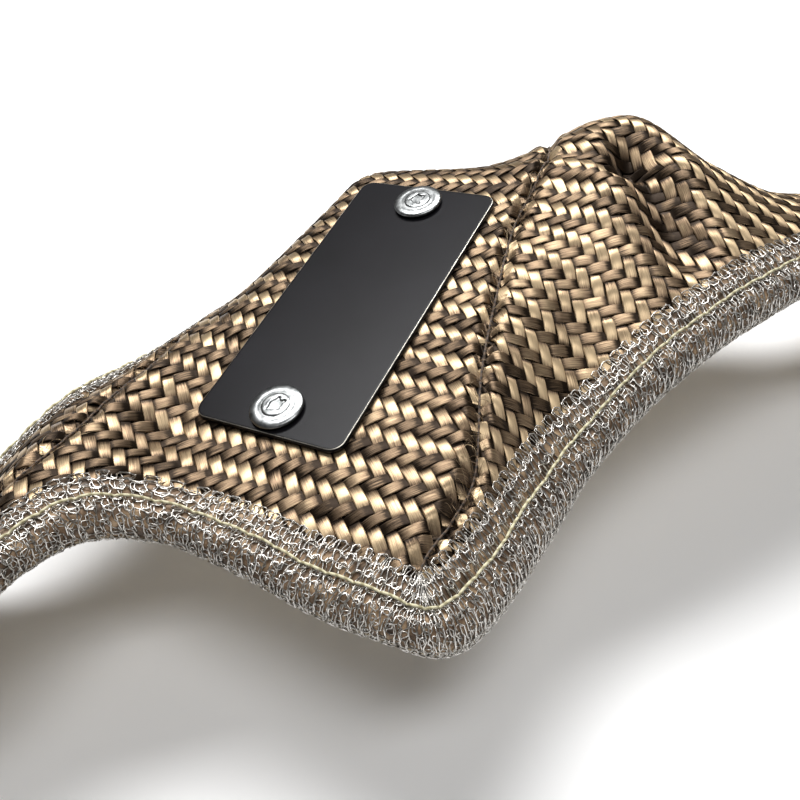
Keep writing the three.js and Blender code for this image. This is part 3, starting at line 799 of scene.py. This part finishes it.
# Dark sheet under the tows, whose colour is painted shade in the gaps between them
backing = layer_shell(
    "cover_backing",
    4.0,
    lambda x, y: -0.82 + 0.6 * groove(x, y),
    lambda x, y: -0.97 + 0.6 * groove(x, y),
    360,
    100,
    BACKING,
)
mat = layer_shell(
    "needled_mat", 1.4, lambda x, y: -1.5 + np.minimum(groove(x, y), 0), mat_base, 300, 90, MAT
)
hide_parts("insulation_mat")
liner = layer_shell(
    "liner_cloth",
    1.4,
    lambda x, y: mat_base(x, y) - CLEARANCE,
    lambda x, y: mat_base(x, y) - CLEARANCE - LINER_THICKNESS,
    220,
    60,
    LINER,
)
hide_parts("inner_liner")


# Binding

# Section of the folded strip as inset and level: from its rim on the cloth, over the edge, to its rim
# on the liner
BINDING_SECTION = smooth_line(
    [
        [10.9, 0.62], [9.6, 1.0], [7.6, 1.3], [6.0, 1.2], [4.8, 0.95], [3.4, 1.35], [1.7, 1.0], [0.45, -0.3],
        [0.0, -2.2], [0.3, -4.2], [1.5, -5.7], [3.2, -6.2], [4.8, -5.95], [6.6, -6.25], [10.6, -6.2],
    ],
    8,
    False,
    0.5,
)
section_steps = np.linalg.norm(np.diff(BINDING_SECTION, axis=0), axis=1)
section_at = np.concatenate([[0], np.cumsum(section_steps)])
SECTION_LENGTH = section_at[-1]
section_ahead = np.gradient(BINDING_SECTION, section_at, axis=0)
section_out = np.stack([section_ahead[:, 1], -section_ahead[:, 0]], 1)
section_out /= np.linalg.norm(section_out, axis=1)[:, None]
# Outward is up where the strip lies on the cloth
if section_out[40, 1] < 0:
    section_out = -section_out


def binding_place(s, across, depth):
    """Point of the strip at a length along the edge, a length across the strip and a depth in it."""
    inset, level = [
        np.interp(across, section_at, BINDING_SECTION[:, axis])
        - depth * np.interp(across, section_at, section_out[:, axis])
        for axis in (0, 1)
    ]
    x, y = edge_place(s, np.maximum(inset, 0))
    beyond = np.minimum(inset, 0)
    u = (s / EDGE_LENGTH * EDGE_SAMPLES).astype(int) % EDGE_SAMPLES
    return lift(x, y, level) + np.stack([edge_nx[u] * beyond, edge_ny[u] * beyond, 0 * beyond], -1)


def binding_up(s, across):
    """Outward direction of the strip in space."""
    outer = binding_place(s, across, 0.0 * s)
    return outer - binding_place(s, across, 0.3 + 0.0 * s)


def knit_layer(name, pitch, rows, depth, lean, seed):
    """Knitted wire: each row is one wire that runs along the edge and loops back over the row beside it.

    Along the edge its place is the turn plus a sine of twice the turn, across the strip it is a cosine of
    the turn that reaches into the next rows, and it weaves up and down at the crossings. Each row has
    its own start and wander.
    """
    loops = int(round(EDGE_LENGTH / pitch))
    steps = 8
    turn = np.arange(loops * steps) / steps * 2 * np.pi
    spacing = (SECTION_LENGTH - 0.6) / rows
    row = np.arange(rows)[:, None]
    phase = np.random.default_rng(seed).uniform(0, 2 * np.pi, (rows, 1)) + lean * row
    bent = np.stack([ripple(turn + 40 * k, seed + k, (5.1, 8.3, 13.7)) for k in range(rows)])
    swayed = np.stack([ripple(turn - 25 * k, seed + 50 + k, (4.3, 9.1, 17.0)) for k in range(rows)])
    s = (turn / (2 * np.pi)) * EDGE_LENGTH / loops + 0.5 * np.sin(2 * turn + 2 * phase) + 0.3 * bent
    across = 0.3 + (row + 0.5) * spacing + 0.72 * spacing * np.cos(turn + phase) + 0.25 * swayed
    across = np.clip(across, 0.05, SECTION_LENGTH - 0.05)
    inward = depth + 0.13 * np.cos(2 * turn + phase + 0.8) + 0.1 * np.stack(
        [ripple(turn, seed + 90 + k, (6.1, 11.9)) for k in range(rows)]
    )
    inward = np.maximum(inward, WIRE_RADIUS)
    lines = binding_place(s, across, inward)
    up = binding_up(s, across)
    rings = tubes(lines, up, WIRE_RADIUS, 3, closed_along=True)
    half = rows // 2
    pieces = []
    for part, chosen in (("over", slice(0, half)), ("under", slice(half, rows))):
        block = rings[chosen]
        quads = strip_faces(block.shape[0], block.shape[1], 3, closed_along=True)
        piece = make_piece(f"{name}_{part}", block, [quads], [WIRE])
        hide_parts("edge_binding")
        pieces.append(piece)
    return pieces


bed_s = np.linspace(0, EDGE_LENGTH, 640, endpoint=False)[:, None]
bed_across = np.linspace(1.7, SECTION_LENGTH - 0.6, 26)[None]
bed_s, bed_across = np.broadcast_arrays(bed_s, bed_across)
bed_outer = binding_place(bed_s, bed_across, np.full(bed_s.shape, 0.68))
bed_inner = binding_place(bed_s, bed_across, np.full(bed_s.shape, 0.86))
bed_section = np.concatenate([bed_outer, bed_inner[:, ::-1]], 1)
bed = make_piece(
    "binding_cloth",
    bed_section,
    [strip_faces(1, bed_section.shape[0], bed_section.shape[1], closed_along=True)],
    [BINDING_CLOTH],
)
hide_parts("edge_binding")
knit_pieces = knit_layer("outer_knit", 2.8, 12, 0.2, 0.4, 21)
knit_pieces += knit_layer("inner_knit", 2.6, 13, 0.46, 1.3, 22)


def sewn_line(name, x, y, level, radius, finish, sides, closed_along):
    """Thread on a line in plan: a tube at the given levels, with its own length for the twist."""
    line = lift(x, y, level)[None]
    up = upward(x, y)[None]
    rings = tubes(line, up, radius, sides, closed_along)
    run = np.concatenate([[0], np.cumsum(np.linalg.norm(np.diff(line[0], axis=0), axis=1))])
    uv = np.stack(np.broadcast_arrays(np.arange(sides) / sides, run[:, None]), -1)
    faces = [strip_faces(1, rings.shape[1], sides, closed_along)]
    if not closed_along:
        index = np.arange(rings.shape[1] * sides).reshape(-1, sides)
        faces += [index[:1][:, ::-1], index[-1:]]
    return make_piece(name, rings, faces, [finish], uv=uv)


# Needle thread: long lockstitches that dip where the needle went in
stitch_count = int(round(EDGE_LENGTH / STITCH_LENGTH))
stitch_s = np.linspace(0, EDGE_LENGTH, stitch_count * 12, endpoint=False)
stitch_turn = stitch_s / EDGE_LENGTH * stitch_count
stitch_dip = np.abs(np.sin(np.pi * stitch_turn)) ** 0.5
stitch_inset = STITCH_INSET + 0.12 * ripple(stitch_s, 31, (17, 41, 90))
stitch_x, stitch_y = edge_place(stitch_s, stitch_inset)
stitch_level = 0.85 + 0.5 * stitch_dip
stitch_radius = 0.28 * (0.85 + 0.15 * stitch_dip)[None]
needle_thread = sewn_line("needle_thread", stitch_x, stitch_y, stitch_level, stitch_radius, STITCH, 8, True)
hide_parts("binding_needle_thread")

for name, node, seam in (
    ("arm_seam_sewing", "arm_seam_thread", arm_seam),
    ("dart_seam_sewing", "dart_seam_thread", dart_seam),
):
    steps = np.linalg.norm(np.diff(seam, axis=0), axis=1)
    reached = np.concatenate([[0], np.cumsum(steps)])
    run = np.arange(0, reached[-1], 0.6)
    x, y = np.interp(run, reached, seam[:, 0]), np.interp(run, reached, seam[:, 1])
    inside = read(inset_map, x, y) > 6
    x, y, run = x[inside], y[inside], run[inside]
    level = -0.95 + 0.25 * np.abs(np.sin(np.pi * run / 4))
    sewing = sewn_line(name, x, y, level, 0.22, SEAM_THREAD, 6, False)
    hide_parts(node)


# Broken filaments that stand out of the dart seam
def loose_filaments(name, seam, count, seed, low, high):
    """Thin bent hairs: each starts in the seam, rises and curves away on a parabola."""
    chance = np.random.default_rng(seed)
    pick = chance.uniform(low, high, count) * (len(seam) - 1)
    x0 = np.interp(pick, np.arange(len(seam)), seam[:, 0]) + chance.normal(0, 0.9, count)
    y0 = np.interp(pick, np.arange(len(seam)), seam[:, 1]) + chance.normal(0, 0.9, count)
    heading = chance.uniform(0, 2 * np.pi, count)
    length = chance.uniform(1.5, 5.0, count)
    curl = chance.uniform(-0.5, 0.5, count)
    t = np.linspace(0, 1, 7)[None]
    turn = heading[:, None] + curl[:, None] * t * 2
    x = x0[:, None] + length[:, None] * t * np.cos(turn)
    y = y0[:, None] + length[:, None] * t * np.sin(turn)
    level = -0.3 + chance.uniform(0.8, 2.4, (count, 1)) * np.sin(t * chance.uniform(1.2, 2.6, (count, 1)))
    lines = lift(x, y, level)
    rings = tubes(lines, upward(x, y), 0.055 * np.broadcast_to(1.1 - 0.8 * t, x.shape), 3)
    uv = np.stack(np.broadcast_arrays(np.arange(3) / 3, (t * 4)[..., None]), -1)
    uv = np.broadcast_to(uv, rings.shape[:3] + (2,))
    shade = np.broadcast_to(chance.uniform(-0.25, 0.25, (count, 1, 1)), rings.shape[:3])
    index = np.arange(rings[..., 0].size).reshape(rings.shape[:3])
    faces = [strip_faces(count, 7, 3), index[:, 0, ::-1], index[:, -1]]
    piece = make_piece(name, rings, faces, [TOW], uv=uv, shade=shade)
    return piece


loose_filaments("dart_seam_filaments", dart_seam, 170, 41, 0.2, 0.8)
loose_filaments("arm_seam_filaments", arm_seam, 50, 42, 0.2, 0.85)


# Plate and rivets, in the plate's own axes: along, over, out
plate_along = np.array([math.cos(PLATE_HEADING), math.sin(PLATE_HEADING), 0.0])
plate_along[2] = plate_along[:2] @ PLATE_SLOPE
plate_along /= np.linalg.norm(plate_along)
plate_out = np.array([-PLATE_SLOPE[0], -PLATE_SLOPE[1], 1.0])
plate_out /= np.linalg.norm(plate_out)
plate_over = np.cross(plate_out, plate_along)


def on_plate(points):
    """Points given along, over and out of the plate, put in their place."""
    return PLATE_CENTRE + points @ np.stack([plate_along, plate_over, plate_out])


corner_turn = np.linspace(0, np.pi / 2, 9)
loop_parts = []
for quarter, (sx, sy) in enumerate(((1, 1), (-1, 1), (-1, -1), (1, -1))):
    turn = corner_turn + quarter * np.pi / 2
    centre_x = sx * (PLATE_LENGTH / 2 - PLATE_CORNER)
    centre_y = sy * (PLATE_WIDTH / 2 - PLATE_CORNER)
    loop_parts.append(np.stack([np.full(9, centre_x), np.full(9, centre_y), np.cos(turn), np.sin(turn)], 1))
plate_loop = np.concatenate(loop_parts)
# The sheet is rounded over at its rim: inset and height of each ring
plate_rings = [(0.5, 0.0), (0.12, 0.02), (0.0, 0.15), (0.0, 0.72), (0.08, 0.92), (0.26, 1.0), (0.6, 1.0)]
plate_levels = []
for inset, height in plate_rings:
    ring = plate_loop[:, :2] + (PLATE_CORNER - inset) * plate_loop[:, 2:]
    plate_levels.append(np.column_stack([ring, np.full(len(plate_loop), height)]))
plate_points = np.stack(plate_levels)
plate_quads = strip_faces(1, len(plate_rings), len(plate_loop))
plate_index = np.arange(plate_points.shape[0] * plate_points.shape[1]).reshape(plate_points.shape[:2])
bare = np.repeat([0, 0, 0, 0, 1, 0], len(plate_loop))
plate = make_piece(
    "blank_plate",
    on_plate(plate_points),
    [plate_quads, plate_index[:1][:, ::-1], plate_index[-1:]],
    [PLATE, BARE_EDGE],
    face_finish=np.concatenate([bare, [0, 0]]),
)
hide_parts("name_plate")


def turned(name, node, centre, profile, relief, segments):
    """Turned piece on the plate: rings of the profile's radius and height, with relief added by place."""
    profile = smooth_line(profile, 3, False, 0.5)
    turn = np.arange(segments) / segments * 2 * np.pi
    radius = profile[:, :1] * np.ones(segments)
    height = profile[:, 1:] + relief(radius, turn[None], profile[:, 1:])
    points = np.stack([centre + radius * np.cos(turn), radius * np.sin(turn), height], -1)
    index = np.arange(len(profile) * segments).reshape(len(profile), segments)
    faces = [strip_faces(1, len(profile), segments), index[:1][:, ::-1], index[-1:]]
    piece = make_piece(name, on_plate(points), faces, [ZINC])
    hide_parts(node)
    return piece


def torn_star(seed):
    """Relief of a clinched end: a deep cup, slits that run out from it and lips that curl up between them."""
    chance = np.random.default_rng(seed)
    arms = chance.uniform(0, 2 * np.pi) + np.array([0, 1.9, 3.6, 5.0]) + chance.normal(0, 0.15, 4)
    reach = chance.uniform(1.3, 2.0, 4)

    def relief(radius, turn, height):
        total = np.zeros(np.broadcast_shapes(radius.shape, turn.shape))
        for arm, length in zip(arms, reach):
            off = radius * np.abs(np.sin((turn - arm) / 2)) * 2
            slit = np.exp(-((off / 0.28) ** 2)) / (1 + np.exp((radius - length) / 0.12))
            total = total - 0.9 * slit
        total = total - 1.6 * np.exp(-((radius / 1.1) ** 6))
        lip = 0.1 * np.exp(-(((radius - 1.2) / 0.5) ** 2)) * (1 + 0.6 * np.sin(3 * turn + seed))
        return np.where(height > 0.9, total + lip, 0)

    return relief


def no_relief(radius, turn, height):
    """Relief of a smooth piece: none."""
    return 0.0 * radius * turn


for side, centre in (("near", -(PLATE_LENGTH / 2 - RIVET_INSET)), ("far", PLATE_LENGTH / 2 - RIVET_INSET)):
    turned(
        f"clinch_washer_{side}",
        f"rivet_washer_{side}",
        centre,
        [
            [2.3, 1.35], [4.6, 1.3], [5.3, 1.42], [5.55, 1.75], [5.4, 2.1], [4.9, 2.32], [4.2, 2.42],
            [3.7, 2.4], [3.0, 2.44], [2.3, 2.4],
        ],
        no_relief,
        64,
    )
    turned(
        f"clinch_rivet_{side}",
        f"rivet_{side}",
        centre,
        [
            [0.05, -11.4], [4.4, -11.4], [5.0, -11.0], [4.9, -10.6], [2.2, -10.4], [2.0, -9.8], [2.0, -5.0],
            [2.0, 1.5], [2.05, 2.3], [3.0, 2.45], [2.8, 2.62], [2.2, 2.68], [1.6, 2.66], [1.0, 2.62],
            [0.5, 2.58], [0.05, 2.55],
        ],
        torn_star(3 if side == "near" else 8),
        96,
    )


# Floor, backdrop and light


def stage_finish():
    """White seamless paper: it glows a little to the camera and in metal, and keeps the soft shadow."""
    material = bpy.data.materials.new("white_paper")
    material.use_nodes = True
    material.node_tree.nodes.clear()
    paper = add_node(material, "ShaderNodeBsdfDiffuse", {"Color": linear("#f4f4f4")})
    glow = add_node(material, "ShaderNodeEmission", {"Color": linear("#ffffff"), "Strength": 0.06})
    rays = add_node(material, "ShaderNodeLightPath")
    seen = add_node(
        material,
        "ShaderNodeMath",
        {0: rays.outputs["Is Camera Ray"], 1: rays.outputs["Is Glossy Ray"]},
        operation="MAXIMUM",
    ).outputs[0]
    both = add_node(material, "ShaderNodeAddShader", {0: paper.outputs[0], 1: glow.outputs[0]}).outputs[0]
    pick = add_node(material, "ShaderNodeMixShader", {0: seen, 1: paper.outputs[0], 2: both})
    add_node(material, "ShaderNodeOutputMaterial", {"Surface": pick.outputs[0]})
    return material


floor_mesh = bpy.data.meshes.new("floor")
floor_mesh.from_pydata([(-6, -6, 0), (6, -6, 0), (6, 6, 0), (-6, 6, 0)], [], [(0, 1, 2, 3)])
floor_mesh.materials.append(stage_finish())
floor = bpy.data.objects.new("floor", floor_mesh)
bpy.context.scene.collection.objects.link(floor)

world = bpy.data.worlds.new("studio")
bpy.context.scene.world = world
world.use_nodes = True
world.node_tree.nodes["Background"].inputs["Color"].default_value = linear("#ffffff")
world.node_tree.nodes["Background"].inputs["Strength"].default_value = 0.08


def soft_light(name, place, aim, size, watts):
    """Rectangular softbox at a place, turned to its aim."""
    data = bpy.data.lights.new(name, "AREA")
    data.shape = "RECTANGLE"
    data.size, data.size_y = size
    data.energy = watts
    lamp = bpy.data.objects.new(name, data)
    lamp.location = place
    away = Vector(aim) - Vector(place)
    lamp.rotation_euler = away.to_track_quat("-Z", "Y").to_euler()
    bpy.context.scene.collection.objects.link(lamp)


soft_light("back_softbox", (-0.12, 0.42, 0.8), (0, 0, 0.04), (0.7, 0.3), 10.5)
soft_light("front_softbox", (0.08, -0.3, 0.85), (0, 0, 0.04), (0.6, 0.25), 3.2)
